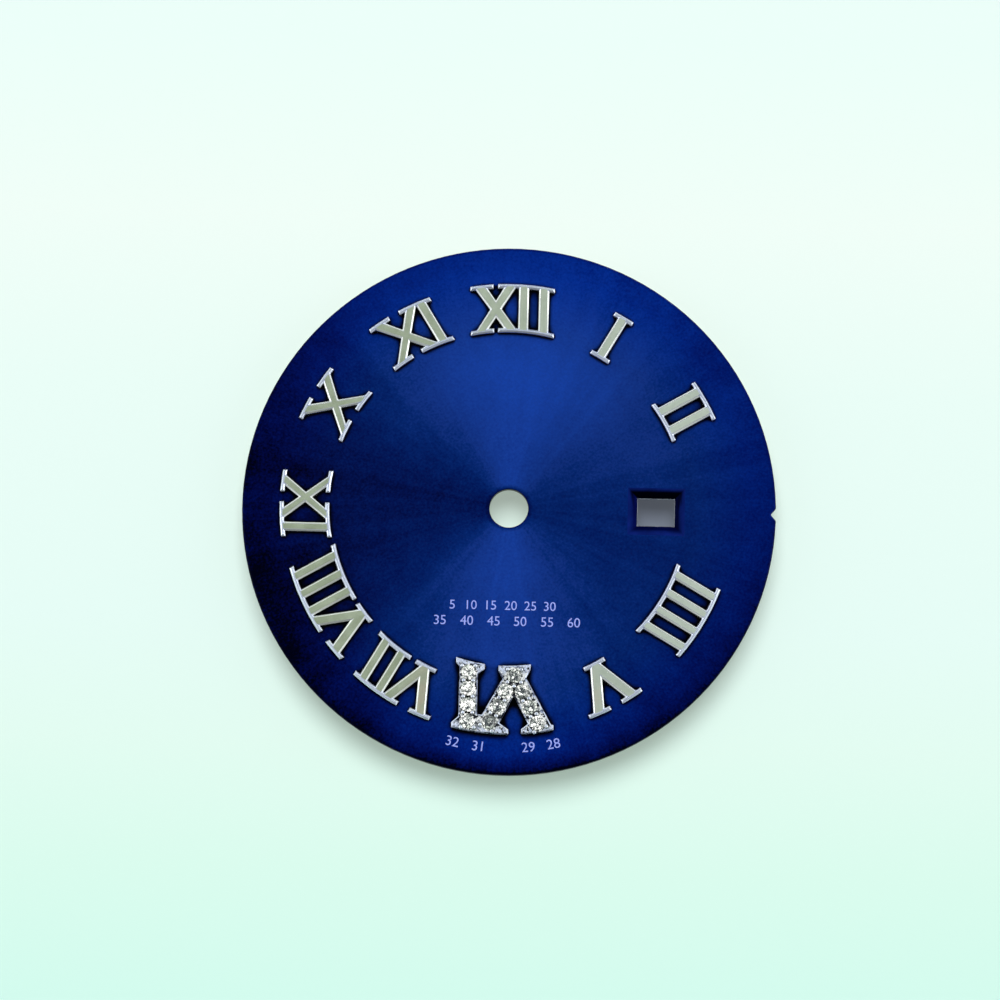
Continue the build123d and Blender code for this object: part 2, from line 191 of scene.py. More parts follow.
def sunburstGroup():
    # brush lines that run out from the centre: noise read along the direction, hardly along the radius
    inputs = {"Lines": 200.0, "Drift": 60.0, "Detail": 3.0, "Roughness": 0.55}
    group, given, made = newGroup("sunburstLines", inputs, ("Streaks", "Radius", "TwelveSix", "Right", "Up"))
    flat, radius = flatPlace(group)
    direction = addNode(group, "ShaderNodeVectorMath", {0: flat}, operation="NORMALIZE")
    right, up = splitVector(group, direction.outputs[0])[:2]
    column = addNode(group, "ShaderNodeCombineXYZ", {
        0: mathNode(group, "MULTIPLY", right, given["Lines"]),
        1: mathNode(group, "MULTIPLY", up, given["Lines"]),
        2: mathNode(group, "MULTIPLY", radius, given["Drift"]),
    })
    squareUp = mathNode(group, "MULTIPLY", up, up)
    squareRight = mathNode(group, "MULTIPLY", right, right)
    results = {
        "Streaks": noiseNode(group, column.outputs[0], 1.0, given["Detail"], given["Roughness"]),
        "Radius": radius,
        "TwelveSix": mathNode(group, "SUBTRACT", squareUp, squareRight),
        "Right": right,
        "Up": up,
    }
    for title, result in results.items():
        setSocket(group, made[title], result)
    return group


def grainGroup():
    # fine even grain of blasted or cast metal, with slow patches in it
    inputs = {"Size": 40000.0, "Patches": 900.0, "Detail": 2.0, "Roughness": 0.6}
    group, given, made = newGroup("fineGrain", inputs, ("Grain", "Patch"))
    place = ownPlace(group)
    for size, title in (("Size", "Grain"), ("Patches", "Patch")):
        noise = noiseNode(group, place, given[size], given["Detail"], given["Roughness"])
        setSocket(group, made[title], noise)
    return group


def facetGroup():
    # small flat patches, each with a random share of light of its own, for painted glints
    group, given, made = newGroup("facetPatches", {"Scale": 5000.0}, ("Share",))
    cells = addNode(group, "ShaderNodeTexVoronoi", {"Vector": ownPlace(group), "Scale": given["Scale"]})
    parts = addNode(group, "ShaderNodeSeparateColor", {0: cells.outputs["Color"]})
    setSocket(group, made["Share"], parts.outputs[0])
    return group


def strokeEndGroup():
    # one beside the rings that a numeral's strokes end on, nought between them
    inputs = {"Radius": 0.0, "Outer": 0.0142, "Inner": 0.0098, "Width": 0.0003, "Blend": 0.0001}
    group, given, made = newGroup("strokeEnds", inputs, ("Share",))
    outer = mathNode(group, "SUBTRACT", given["Outer"], given["Radius"])
    inner = mathNode(group, "SUBTRACT", given["Radius"], given["Inner"])
    nearest = mathNode(group, "MINIMUM", outer, inner)
    faded = mathNode(group, "ADD", given["Width"], given["Blend"])
    setSocket(group, made["Share"], rangeNode(group, nearest, given["Width"], faded, 1, 0))
    return group


sunburstLines = sunburstGroup()
fineGrain = grainGroup()
facetPatches = facetGroup()
strokeEnds = strokeEndGroup()


def roughen(tree, shader, grain, look):
    # roughness and bump follow the grain: which noise of it, then two values
    noise, low, high = look["roughness"]
    setSocket(tree, shader.inputs["Roughness"], rangeNode(tree, grain[noise], *noiseSpread, low, high))
    if "bump" in look:
        noise, distance, strength = look["bump"]
        addBump(tree, shader, grain[noise], distance, strength)


# Blue lacquer of the plate, with painted sheen and painted shade in its colour

lacquer = {
    # share of the painted light of the sunburst, and the colour there
    "tones": (
        (0.00, (0.0003, 0.0005, 0.008)),
        (0.10, (0.0006, 0.0030, 0.050)),
        (0.25, (0.0009, 0.0095, 0.118)),
        (0.40, (0.0012, 0.0200, 0.182)),
        (0.52, (0.0024, 0.0310, 0.235)),
        (0.64, (0.0078, 0.0430, 0.295)),
        (0.85, (0.0102, 0.0590, 0.395)),
        (1.00, (0.0110, 0.0700, 0.470)),
    ),
    # painted sheen, the sunburst's lobes of light: how far it gathers: nearer radius, farther radius, share
    # there and there.
    # The lean is towards one and seven o'clock, the diagonal halfway between the hours' axes, the beam
    # towards six
    "level": 0.57,
    "fade": (0.009, 0.0165, 0.0, -0.27),
    "twelveSix": (0.009, 0.0165, 0.22, 0.09),
    "right": (0.0, 0.012, 0.05, 0.145),
    "up": (0.004, 0.008, 0.0, 0.135),
    "lean": (0.009, 0.0125, 0.09, 0.0),
    "diagonal": (0.0135, 0.0155, 0.0, -0.26),
    "beam": (0.008, 0.0115, 0.03, 0.115),
    "beamNarrow": 20.0,
    # painted shade: the last millimetre towards six darkens, and so do the lips of the rim and the hole
    "edge": (0.0153, 0.0165, 0.0, -0.85),
    "edgeNarrow": 3.0,
    "lip": (0.01626, 0.01646, 0.0, -0.5),
    "holeLip": (0.00120, 0.00150, -0.65, 0.0),
    # towards the rim the colour turns to a purer blue
    "rim": (0.0115, 0.0150, 0, 1),
    "rimTint": (0.22, 0.82, 1.2),
    # painted shade beside the raised metal, where it stands close to the lacquer: distance in metres, samples
    "contactReach": (0.0006, 24),
    "contact": (0.63, 0.86, 0.0, 1.0),
    "contactShade": (0.0006, 0.0007, 0.0018),
    "brushLines": {"Lines": 190.0, "Drift": 90.0},
    "broadLines": {"Lines": 9.0, "Drift": 25.0, "Detail": 2.0},
    "grainSizes": {"Size": 6500.0, "Patches": 700.0},
    # how much each makes the light uneven
    "brushShare": 0.16,
    "broadShare": 0.22,
    "grainShare": 0.42,
    "patchShare": 0.20,
    "roughness": (0.54, 0.66),
    "brushDepth": (0.00001, 0.06),  # bump: distance in metres, strength
    "shader": {
        "Metallic": 0.6,
        "Anisotropic": 0.9,
        "Specular IOR Level": 0.0,
        "Coat Weight": 0.04,
        "Coat Roughness": 0.1,
    },
}


def makeLacquer():
    material, tree = newTree("blueSunburst")
    shader = principled(tree, lacquer["shader"])
    fine = useGroup(tree, sunburstLines, **lacquer["brushLines"])
    broad = useGroup(tree, sunburstLines, **lacquer["broadLines"])
    grain = useGroup(tree, fineGrain, **lacquer["grainSizes"])
    radius, right, up = (fine[title] for title in ("Radius", "Right", "Up"))
    towardsSix = mathNode(tree, "MULTIPLY_ADD", up, -0.5, 0.5)
    lean = mathNode(tree, "MULTIPLY", right, up)
    turns = {
        "twelveSix": fine["TwelveSix"],
        "right": mathNode(tree, "MULTIPLY", right, mathNode(tree, "ABSOLUTE", right)),
        "up": up,
        "lean": lean,
        "diagonal": mathNode(tree, "MULTIPLY", lean, lean),
        "beam": mathNode(tree, "POWER", towardsSix, lacquer["beamNarrow"]),
    }
    # painted sheen: the lobes of the sunburst's light, painted into the base colour
    light = mathNode(tree, "ADD", rangeNode(tree, radius, *lacquer["fade"]), lacquer["level"])
    for key, turn in turns.items():
        share = mathNode(tree, "MULTIPLY", rangeNode(tree, radius, *lacquer[key]), turn)
        light = mathNode(tree, "ADD", light, share)
    # painted shade at the edge towards six and at the lips of the rim and the hole
    edge = mathNode(tree, "POWER", towardsSix, lacquer["edgeNarrow"])
    edge = mathNode(tree, "MULTIPLY", rangeNode(tree, radius, *lacquer["edge"]), edge)
    for key in ("lip", "holeLip"):
        edge = mathNode(tree, "ADD", edge, rangeNode(tree, radius, *lacquer[key]))
    light = mathNode(tree, "MULTIPLY", light, mathNode(tree, "ADD", edge, 1.0))
    for noise, key in (
        (fine["Streaks"], "brushShare"),
        (broad["Streaks"], "broadShare"),
        (grain["Grain"], "grainShare"),
        (grain["Patch"], "patchShare"),
    ):
        uneven = mathNode(tree, "MULTIPLY", mathNode(tree, "SUBTRACT", noise, 0.5), lacquer[key])
        light = mathNode(tree, "ADD", light, uneven)
    light.node.use_clamp = True
    colour = toneRamp(tree, light, lacquer["tones"])
    outer = rangeNode(tree, radius, *lacquer["rim"])
    colour = mixColour(tree, outer, colour, lacquer["rimTint"], "MULTIPLY")
    # painted shade beside the raised numerals and the setting
    openness = rangeNode(tree, openShare(tree, *lacquer["contactReach"]), *lacquer["contact"])
    setSocket(tree, shader.inputs["Base Color"], mixColour(tree, openness, lacquer["contactShade"], colour))
    roughness = rangeNode(tree, fine["Streaks"], *noiseSpread, *lacquer["roughness"])
    setSocket(tree, shader.inputs["Roughness"], roughness)
    tangent = addNode(tree, "ShaderNodeTangent", direction_type="RADIAL", axis="Z")
    setSocket(tree, shader.inputs["Tangent"], tangent.outputs[0])
    addBump(tree, shader, fine["Streaks"], *lacquer["brushDepth"])
    return material


windowFrame = {
    # painted light and shade: tones of the four sides, and of what faces the front
    "twelve": (0.0003, 0.0006, 0.0035),
    "six": (0.0004, 0.0024, 0.042),
    "left": (0.0012, 0.0034, 0.062),
    "right": (0.0010, 0.0022, 0.024),
    "front": (0.0040, 0.0140, 0.140),
    # each side faces inwards: the one at six o'clock faces twelve
    "facingRight": (-0.12, 0.12, 0, 1),
    "facingTwelve": (0.1, 0.35, 0, 1),
    "facingFront": (0.86, 0.99, 0, 1),
    "facingSix": (-0.12, -0.30, 0, 1),
    "grainSizes": {"Size": 16000.0, "Patches": 900.0},
    "uneven": (0.75, 1.25),
    "bump": (0.000008, 0.4),
    "shader": {"Metallic": 0.3, "Specular IOR Level": 0.0, "Roughness": 0.4},
}


def makeFrameLacquer():
    # the pressed frame of the date window: the same lacquer, with painted shade on the side below twelve and
    # painted light on the other sides
    material, tree = newTree("windowFrameLacquer")
    look = windowFrame
    shader = principled(tree, look["shader"])
    facingX, facingY, facingZ = splitVector(tree, ownPlace(tree, "Normal"))
    # painted light and shade by the way each face turns
    colour = mixColour(tree, rangeNode(tree, facingX, *look["facingRight"]), look["right"], look["left"])
    colour = mixColour(tree, rangeNode(tree, facingY, *look["facingTwelve"]), colour, look["six"])
    colour = mixColour(tree, rangeNode(tree, facingZ, *look["facingFront"]), colour, look["front"])
    colour = mixColour(tree, rangeNode(tree, facingY, *look["facingSix"]), colour, look["twelve"])
    patch = useGroup(tree, fineGrain, **look["grainSizes"])["Patch"]
    uneven = rangeNode(tree, patch, *noiseSpread, *look["uneven"])
    scaled = addNode(tree, "ShaderNodeVectorMath", {0: colour, "Scale": uneven}, operation="SCALE")
    setSocket(tree, shader.inputs["Base Color"], scaled.outputs[0])
    addBump(tree, shader, patch, *look["bump"])
    return material


# Plain metals and ink, mottled between two tones

rimEdgeLook = {
    "grainSizes": {"Size": 16000.0, "Patches": 1200.0},
    "tones": ((0.001, 0.002, 0.012), (0.004, 0.008, 0.040)),
    "shader": {"Metallic": 0.3, "Specular IOR Level": 0.2, "Roughness": 0.4},
}

windowEdgeLook = {
    "grainSizes": {"Size": 12000.0, "Patches": 1500.0},
    "roughness": ("Patch", 0.15, 0.375),
    "bump": ("Patch", 0.000008, 0.35),
    "shader": {"Metallic": 0.85, "Base Color": (0.62, 0.62, 0.72)},
}

inkLook = {
    "grainSizes": {"Size": 14000.0, "Patches": 2500.0},
    "tones": ((0.26, 0.33, 0.86), (0.37, 0.45, 0.98)),
    "shader": {"Roughness": 0.55},
}

footLook = {
    "grainSizes": {"Size": 15000.0, "Patches": 1800.0},
    "tones": ((0.66, 0.46, 0.2), (0.82, 0.63, 0.32)),
    "roughness": ("Grain", 0.2, 0.36),
    "bump": ("Grain", 0.000004, 0.3),
    "shader": {"Metallic": 1.0},
}


def makeMottled(name, look):
    material, tree = newTree(name)
    shader = principled(tree, look["shader"])
    grain = useGroup(tree, fineGrain, **look["grainSizes"])
    if "tones" in look:
        setSocket(tree, shader.inputs["Base Color"], mixColour(tree, grain["Patch"], *look["tones"]))
    if "roughness" in look:
        roughen(tree, shader, grain, look)
    return material


backLook = {
    "rings": {"Scale": 2600.0, "Distortion": 0.6, "Detail": 2.0},
    "ringShare": 0.12,
    "ringTone": (0.4, 0.27, 0.12),
    "tones": ((0.62, 0.43, 0.19), (0.78, 0.6, 0.31)),
    "grainSizes": {"Size": 9000.0, "Patches": 260.0},
    "roughness": ("Grain", 0.26, 0.42),
    "ringDepth": (0.000006, 0.35),
    "shader": {"Metallic": 1.0},
}


def makeBackMetal():
    # bare brass of the back, turned in fine circles
    material, tree = newTree("turnedBrass")
    shader = principled(tree, backLook["shader"])
    values = {"Vector": ownPlace(tree), **backLook["rings"]}
    rings = addNode(tree, "ShaderNodeTexWave", values, wave_type="RINGS", rings_direction="Z").outputs["Fac"]
    grain = useGroup(tree, fineGrain, **backLook["grainSizes"])
    tone = mixColour(tree, grain["Patch"], *backLook["tones"])
    turned = rangeNode(tree, rings, 0, 1, 0, backLook["ringShare"])
    setSocket(tree, shader.inputs["Base Color"], mixColour(tree, turned, tone, backLook["ringTone"]))
    roughen(tree, shader, grain, backLook)
    addBump(tree, shader, rings, *backLook["ringDepth"])
    return material


# Metal of the applied numerals

satin = {
    # darker and lighter tone of the mottle, with painted shade towards nine o'clock and painted light towards
    # three o'clock
    "left": ((0.325, 0.385, 0.250), (0.490, 0.570, 0.410)),
    "right": ((0.540, 0.625, 0.515), (0.640, 0.725, 0.600)),
    "mottle": (0.36, 0.64, 0, 1),
    "sideways": (-0.6, 0.75, 0, 1),
    # beside six o'clock the strokes catch a painted warm reflection in their colour
    "besideSix": (-0.87, -0.95, 0, 1),
    "warmPatches": (0.38, 0.6, 0.1, 0.8),
    "warm": (0.54, 0.42, 0.30),
    "serif": (0.60, 0.68, 0.82),
    "serifWidth": 0.00017,
    "serifBlend": 0.00006,
    "grainSizes": {"Size": 22000.0, "Patches": 900.0},
    "roughness": ("Grain", 0.46, 0.60),
    "bump": ("Grain", 0.000004, 0.3),
    "shader": {"Metallic": 0.55, "Specular IOR Level": 0.4},
}

bevelLook = {
    "strokes": (0.94, 0.98, 0.91),
    "serifs": (0.82, 0.88, 1.0),
    "serifWidth": 0.00030,
    "grainSizes": {"Size": 12000.0, "Patches": 1500.0},
    "roughness": ("Patch", 0.11, 0.27),
    "bump": ("Patch", 0.000008, 0.35),
    "shader": {"Metallic": 0.85},
}


def ownValue(tree, name):
    # a value that the piece's own mesh carries
    return addNode(tree, "ShaderNodeAttribute", attribute_name=name).outputs["Fac"]


def serifShare(tree, outer, inner, width, blend):
    radius = useGroup(tree, sunburstLines)["Radius"]
    ends = useGroup(tree, strokeEnds, Radius=radius, Outer=outer, Inner=inner, Width=width, Blend=blend)
    return ends["Share"]


def numeralSerifs(tree, width):
    # each numeral carries the radii of its own outer and inner ends
    rings = (ownValue(tree, name) for name in ("outerRing", "innerRing"))
    return serifShare(tree, *rings, width, satin["serifBlend"])


def makeSatin():
    # flat tops of the numerals: warm grey satin
    material, tree = newTree("satinNumeralTop")
    shader = principled(tree, satin["shader"])
    grain = useGroup(tree, fineGrain, **satin["grainSizes"])
    mottle = mathNode(tree, "MULTIPLY", mathNode(tree, "ADD", grain["Grain"], grain["Patch"]), 0.5)
    direction = useGroup(tree, sunburstLines)
    spread = rangeNode(tree, mottle, *satin["mottle"])
    sides = [mixColour(tree, spread, *satin[side]) for side in ("left", "right")]
    # painted shade towards nine o'clock, painted light towards three
    tone = mixColour(tree, rangeNode(tree, direction["Right"], *satin["sideways"]), *sides)
    # painted warm reflection beside six o'clock
    beside = rangeNode(tree, direction["Up"], *satin["besideSix"])
    warm = mathNode(tree, "MULTIPLY", beside, rangeNode(tree, grain["Patch"], *satin["warmPatches"]))
    tone = mixColour(tree, warm, tone, satin["warm"])
    tone = mixColour(tree, numeralSerifs(tree, satin["serifWidth"]), tone, satin["serif"])
    setSocket(tree, shader.inputs["Base Color"], tone)
    roughen(tree, shader, grain, satin)
    return material


def makeBevel():
    material, tree = newTree("brightNumeralBevel")
    shader = principled(tree, bevelLook["shader"])
    serif = numeralSerifs(tree, bevelLook["serifWidth"])
    tone = mixColour(tree, serif, bevelLook["strokes"], bevelLook["serifs"])
    setSocket(tree, shader.inputs["Base Color"], tone)
    roughen(tree, shader, useGroup(tree, fineGrain, **bevelLook["grainSizes"]), bevelLook)
    return material


# Metal of the stone-set numeral

settingLook = {
    "bright": (0.74, 0.83, 1.0),
    "worn": (0.30, 0.33, 0.46),
    # painted shade: the dark tones of the seats under the stones, and of gaps, cuts and walls towards six
    "seat": (0.060, 0.066, 0.090),
    "gap": (0.006, 0.007, 0.012),
    "roughness": ("Grain", 0.16, 0.34),
    "metallic": 0.35,
    "seatMetallic": 0.8,
}

settingTopLook = {
    # radii of the outer and inner ends in metres, then the serifs' width and how softly they end
    "serifs": (0.01419, 0.00985, 0.00036, 0.0003),
    "pits": (0.40, 0.50, 0, 1),
    "gapReach": (0.00022, 8),
    "openness": (0.80, 1.0, 0, 1),
    "grainSizes": {"Size": 16000.0, "Patches": 5200.0},
    "roughness": settingLook["roughness"],
    "bump": ("Patch", 0.00003, 0.8),
    "shader": {"Metallic": 0.4},
}

settingEdgeLook = {
    "worn": (0.38, 0.50, 0, 1),
    # painted shade on walls and bevels towards six o'clock
    "towardsSix": (-0.35, -0.65, 0, 1),
    "sixPatches": (0.44, 0.54, 0.3, 1),
    "sixShade": 0.95,
    "grainSizes": {"Size": 16000.0, "Patches": 2600.0},
    "roughness": settingLook["roughness"],
    "bump": ("Patch", 0.000010, 0.4),
}

cutMetal = {
    "facets": 8200.0,
    # share of painted light, and the tone there
    "tones": (
        (0.0, (0.006, 0.008, 0.012)),
        (0.34, (0.02, 0.024, 0.03)),
        (0.46, (0.42, 0.46, 0.46)),
        (0.62, (0.93, 0.97, 0.93)),
        (1.0, (0.95, 0.98, 0.97)),
    ),
    "shader": {"Metallic": 0.3, "Roughness": 0.3},
}


def cutFacetGroup():
    # painted glints and shade: small cut facets, each painted as if turned to the light or to the dark
    group, given, made = newGroup("cutFacetGlints", {"Scale": cutMetal["facets"]}, ("Tone",), "NodeSocketColor")
    share = useGroup(group, facetPatches, Scale=given["Scale"])["Share"]
    setSocket(group, made["Tone"], toneRamp(group, share, cutMetal["tones"]))
    return group


cutFacetGlints = cutFacetGroup()


def makeSettingTop():
    # top face: cut in facets round the stones with painted glints, plain and bright on the serifs
    material, tree = newTree("settingTop")
    look = settingTopLook
    shader = principled(tree, look["shader"])
    grain = useGroup(tree, fineGrain, **look["grainSizes"])
    pits = rangeNode(tree, grain["Patch"], *look["pits"])
    plain = mathNode(tree, "MULTIPLY", serifShare(tree, *look["serifs"]), pits)
    tone = mixColour(tree, plain, useGroup(tree, cutFacetGlints)["Tone"], settingLook["bright"])
    # painted shade close beside the stones and beads
    openness = rangeNode(tree, openShare(tree, *look["gapReach"]), *look["openness"])
    setSocket(tree, shader.inputs["Base Color"], mixColour(tree, openness, settingLook["gap"], tone))
    roughen(tree, shader, grain, look)
    return material


def makeSettingEdge(name, low, high, metallic, shaded):
    material, tree = newTree(name)
    look = settingEdgeLook
    shader = principled(tree, {"Metallic": metallic})
    grain = useGroup(tree, fineGrain, **look["grainSizes"])
    tone = mixColour(tree, rangeNode(tree, grain["Patch"], *look["worn"]), low, high)
    if shaded:
        # painted shade on faces turned towards six o'clock
        facing = rangeNode(tree, splitVector(tree, ownPlace(tree, "Normal"))[1], *look["towardsSix"])
        shade = mathNode(tree, "MULTIPLY", facing, rangeNode(tree, grain["Patch"], *look["sixPatches"]))
        shade = mathNode(tree, "MULTIPLY", shade, look["sixShade"])
        tone = mixColour(tree, shade, tone, settingLook["gap"])
    setSocket(tree, shader.inputs["Base Color"], tone)
    roughen(tree, shader, grain, look)
    return material


beadMetal = {
    "tone": (0.93, 0.96, 0.95),
    "gapReach": (0.0001, 6),
    "gapDepth": 2.5,
    "shader": {"Metallic": 1.0, "Roughness": 0.1},
}


def makeBeadMetal():
    # burnished beads: they mirror the dark ceiling and the bright walls, and painted shade darkens their feet
    material, tree = newTree("burnishedGrain")
    shader = principled(tree, beadMetal["shader"])
    openness = mathNode(tree, "POWER", openShare(tree, *beadMetal["gapReach"]), beadMetal["gapDepth"])
    tone = mixColour(tree, openness, settingLook["gap"], beadMetal["tone"])
    setSocket(tree, shader.inputs["Base Color"], tone)
    return material


def makeBrightCut():
    material, tree = newTree("brightCutMetal")
    shader = principled(tree, cutMetal["shader"])
    # painted glints on the cut rings, and painted shade where two stones meet
    tone = mixColour(tree, ownValue(tree, "gap"), useGroup(tree, cutFacetGlints)["Tone"], settingLook["gap"])
    setSocket(tree, shader.inputs["Base Color"], tone)
    return material


stoneLook = {
    "turn": 137.5,  # degrees from one stone to the next
    "tilt": 2.0,
    "tiltTurn": 100.0,
    "seed": 11,
    "patches": 5000.0,
    "table": 0.59,  # share of light of the table, the facet larger than this in square metres
    "tableArea": 0.15e-6,
    "tones": (
        (0.0, (0.01, 0.014, 0.013)),
        (0.39, (0.01, 0.014, 0.012)),
        (0.48, (0.40, 0.46, 0.40)),
        (0.56, (1.0, 1.0, 0.94)),
        (1.0, (1.0, 1.0, 0.98)),
    ),
    "shader": {"Roughness": 0.0, "IOR": 2.3, "Transmission Weight": 1.0},
}


def makeStone():
    # painted sparkle: each facet and each small patch gets its own painted share of light, as if turned to a
    # lamp or the dark
    material, tree = newTree("clearStone")
    patch = useGroup(tree, facetPatches, Scale=stoneLook["patches"])["Share"]
    share = mathNode(tree, "MULTIPLY", mathNode(tree, "ADD", ownValue(tree, "paintedSparkle"), patch), 0.5)
    shader = principled(tree, stoneLook["shader"])
    setSocket(tree, shader.inputs["Base Color"], toneRamp(tree, share, stoneLook["tones"]))
    return material


blueSunburst = makeLacquer()
frameLacquer = makeFrameLacquer()
rimEdge = makeMottled("darkRimEdge", rimEdgeLook)
bareEdge = makeMottled("bareWindowEdge", windowEdgeLook)
turnedBrass = makeBackMetal()
lavenderInk = makeMottled("lavenderInk", inkLook)
drawnBrass = makeMottled("drawnBrass", footLook)
satinTop = makeSatin()
brightBevel = makeBevel()
settingTop = makeSettingTop()
settingMetal = makeSettingEdge(
    "whiteSettingMetal", settingLook["worn"], settingLook["bright"], settingLook["metallic"], True
)
# painted shade: the seats under the stones take the dark tones
seatMetal = makeSettingEdge(
    "darkSeatMetal", settingLook["gap"], settingLook["seat"], settingLook["seatMetallic"], False
)
burnishedBead = makeBeadMetal()
brightCut = makeBrightCut()
clearStone = makeStone()
print("materials made:", len(bpy.data.materials))


# Mesh helpers: lengths in millimetres, angles in degrees

meshLook = {
    "merge": 0.0005,
    "flatAngle": 0.5,
    "smoothAngle": 28,
    "sharpAngle": 25,
    "level": 0.999,  # a face whose normal rises this far lies level
    "topWithin": 0.01,  # how near to the plate's front counts as on it
}


def copyNode(node):
    bm = bmesh.new()
    bm.from_mesh(nodes[node].data)
    bmesh.ops.scale(bm, vec=(1 / mm,) * 3, verts=bm.verts)
    bmesh.ops.remove_doubles(bm, verts=bm.verts, dist=meshLook["merge"])
    flatAngle = math.radians(meshLook["flatAngle"])
    bmesh.ops.dissolve_limit(bm, angle_limit=flatAngle, verts=bm.verts, edges=bm.edges)
    return bm


def sharpEdges(bm, wanted, angle=meshLook["sharpAngle"]):
    least = math.radians(angle)
    folded = [edge for edge in bm.edges if len(edge.link_faces) == 2 and edge.calc_face_angle() > least]
    return [edge for edge in folded if wanted(edge)]


def edgeMiddle(edge):
    return (edge.verts[0].co + edge.verts[1].co) / 2


def roundOver(bm, edges, width, segments):
    bmesh.ops.bevel(
        bm, geom=edges, offset=width, offset_type="OFFSET", segments=segments, profile=0.5,
        affect="EDGES", clamp_overlap=True, material=-1,
    )


def finishPiece(bm, name, materials, replaced=()):
    bmesh.ops.scale(bm, vec=(mm,) * 3, verts=bm.verts)
    for face in bm.faces:
        face.smooth = abs(face.normal.z) < meshLook["level"]
    mesh = bpy.data.meshes.new(name)
    bm.to_mesh(mesh)
    bm.free()
    mesh.set_sharp_from_angle(angle=math.radians(meshLook["smoothAngle"]))
    for material in materials:
        mesh.materials.append(material)
    piece = bpy.data.objects.new(name, mesh)
    scene.collection.objects.link(piece)
    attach(piece, bodyName)
    if replaced:
        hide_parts(*replaced)
    return piece


def dress(node, material):
    mesh = nodes[node].data
    mesh.materials.clear()
    mesh.materials.append(material)


# Dial plate: a copy with its rim, hole and window edges rounded

plateLook = {
    "aboveBack": 0.02,  # edges lower than this belong to the back
    "rimRadius": 15.5,  # what lies beyond this is the rim
    "rimRounding": (0.045, 3),  # width and segments, as in the next ones
    "holeRadius": 1.5,  # edges within this belong to the hand hole
    "holeRounding": (0.02, 2),
    "windowAlong": (7.0, 11.5),  # the stretch along three o'clock that holds the date window
    "windowHalf": 1.6,
    "windowRounding": (0.2, 3),
    "landTop": 0.2,  # edges lower than this belong to the window's thin land
    "landAngle": 20,
    "landRounding": (0.04, 1),
    # faces: how far they turn to the front, below which height they are bare, and where the hole's wall ends
    "backTurn": -0.5,
    "frameTurn": 0.98,
    "wallTurn": 0.45,
    "bareBelow": 0.12,
    "wallRadius": 1.4,
}


def inWindow(point):
    low, high = plateLook["windowAlong"]
    return low < point.x < high and abs(point.y) < plateLook["windowHalf"]


def aboveBack(edge):
    return min(vert.co.z for vert in edge.verts) > plateLook["aboveBack"]


def onRim(edge):
    return aboveBack(edge) and edgeMiddle(edge).xy.length > plateLook["rimRadius"]


def atHole(edge):
    return aboveBack(edge) and edgeMiddle(edge).xy.length < plateLook["holeRadius"]


def onFrame(edge):
    return inWindow(edgeMiddle(edge)) and edgeMiddle(edge).z > plateTop - meshLook["topWithin"]


def onLand(edge):
    return inWindow(edgeMiddle(edge)) and aboveBack(edge) and edgeMiddle(edge).z < plateLook["landTop"]


def buildPlate():
    bm = copyNode("dial_plate")
    look = plateLook
    roundOver(bm, sharpEdges(bm, onRim), *look["rimRounding"])
    roundOver(bm, sharpEdges(bm, atHole), *look["holeRounding"])
    roundOver(bm, sharpEdges(bm, onFrame), *look["windowRounding"])
    roundOver(bm, sharpEdges(bm, onLand, look["landAngle"]), *look["landRounding"])
    for face in bm.faces:
        middle, turn = face.calc_center_median(), face.normal.z
        if turn < look["backTurn"]:
            face.material_index = 1
        elif inWindow(middle) and turn < look["frameTurn"]:
            face.material_index = 3 if middle.z < look["bareBelow"] else 2
        elif not look["wallRadius"] < middle.xy.length < look["rimRadius"] and turn < look["wallTurn"]:
            face.material_index = 4
    materials = (blueSunburst, turnedBrass, frameLacquer, bareEdge, rimEdge)
    finishPiece(bm, "plate_finished", materials, ("dial_plate",))


buildPlate()
print("plate finished")


# Applied numerals: satin tops, polished bevels, every edge a little rounded

numeralLook = {"rounding": (0.036, 3), "topTurn": 0.99}


def buildNumeral(node):
    bm = copyNode(node)
    standing = plateTop + meshLook["topWithin"]
    edges = sharpEdges(bm, lambda edge: max(vert.co.z for vert in edge.verts) > standing)
    roundOver(bm, edges, *numeralLook["rounding"])
    radii = [vert.co.xy.length * mm for vert in bm.verts if vert.co.z > standing]
    for name, ring in (("outerRing", max(radii)), ("innerRing", min(radii))):
        layer = bm.verts.layers.float.new(name)
        for vert in bm.verts:
            vert[layer] = ring
    for face in bm.faces:
        face.material_index = 0 if face.normal.z > numeralLook["topTurn"] else 1
    finishPiece(bm, node + "_finished", (satinTop, brightBevel), (node,))


appliedNumerals = sorted(name for name in nodes if name.startswith("numeral_") and "setting" not in name)
for node in appliedNumerals:
    buildNumeral(node)
print("numerals finished:", len(appliedNumerals))


# Stone-set numeral: the cast setting, cuts round its stones, smooth caps over its beads

stoneNodes = sorted(name for name in nodes if name.startswith("stone_"))
stoneMiddles = {name: sum(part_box(name), Vector()) / 2 / mm for name in stoneNodes}
stoneRadius = (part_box(stoneNodes[0])[1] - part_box(stoneNodes[0])[0]).x / 2 / mm


def stoneReaches(point):
    # distances in plan to the stones' middles, nearest first
    return sorted((point.xy - stone.xy).length for stone in stoneMiddles.values())


seatLook = {"reach": 0.06, "topWithin": 0.005, "seatWithin": 0.001}


def buildSetting():
    # its largest level face is the top that the stones and beads stand in
    bm = copyNode("numeral_6_setting")
    levelFaces = [face for face in bm.faces if face.normal.z > meshLook["level"]]
    level = max(levelFaces, key=lambda face: face.calc_area()).calc_center_median().z
    seatRadius = stoneRadius + seatLook["reach"]
    for face in bm.faces:
        middle = face.calc_center_median()
        if face.normal.z > meshLook["level"] and abs(middle.z - level) < seatLook["topWithin"]:
            face.material_index = 0
        elif stoneReaches(middle)[0] < seatRadius and middle.z < level + seatLook["seatWithin"]:
            face.material_index = 2
        else:
            face.material_index = 1
    materials = (settingTop, settingMetal, seatMetal)
    finishPiece(bm, "setting_finished", materials, ("numeral_6_setting",))
    return level


cutLook = {"inner": 0.45, "outer": 0.535, "segments": 40, "rise": 0.0015, "gapReach": 0.62}


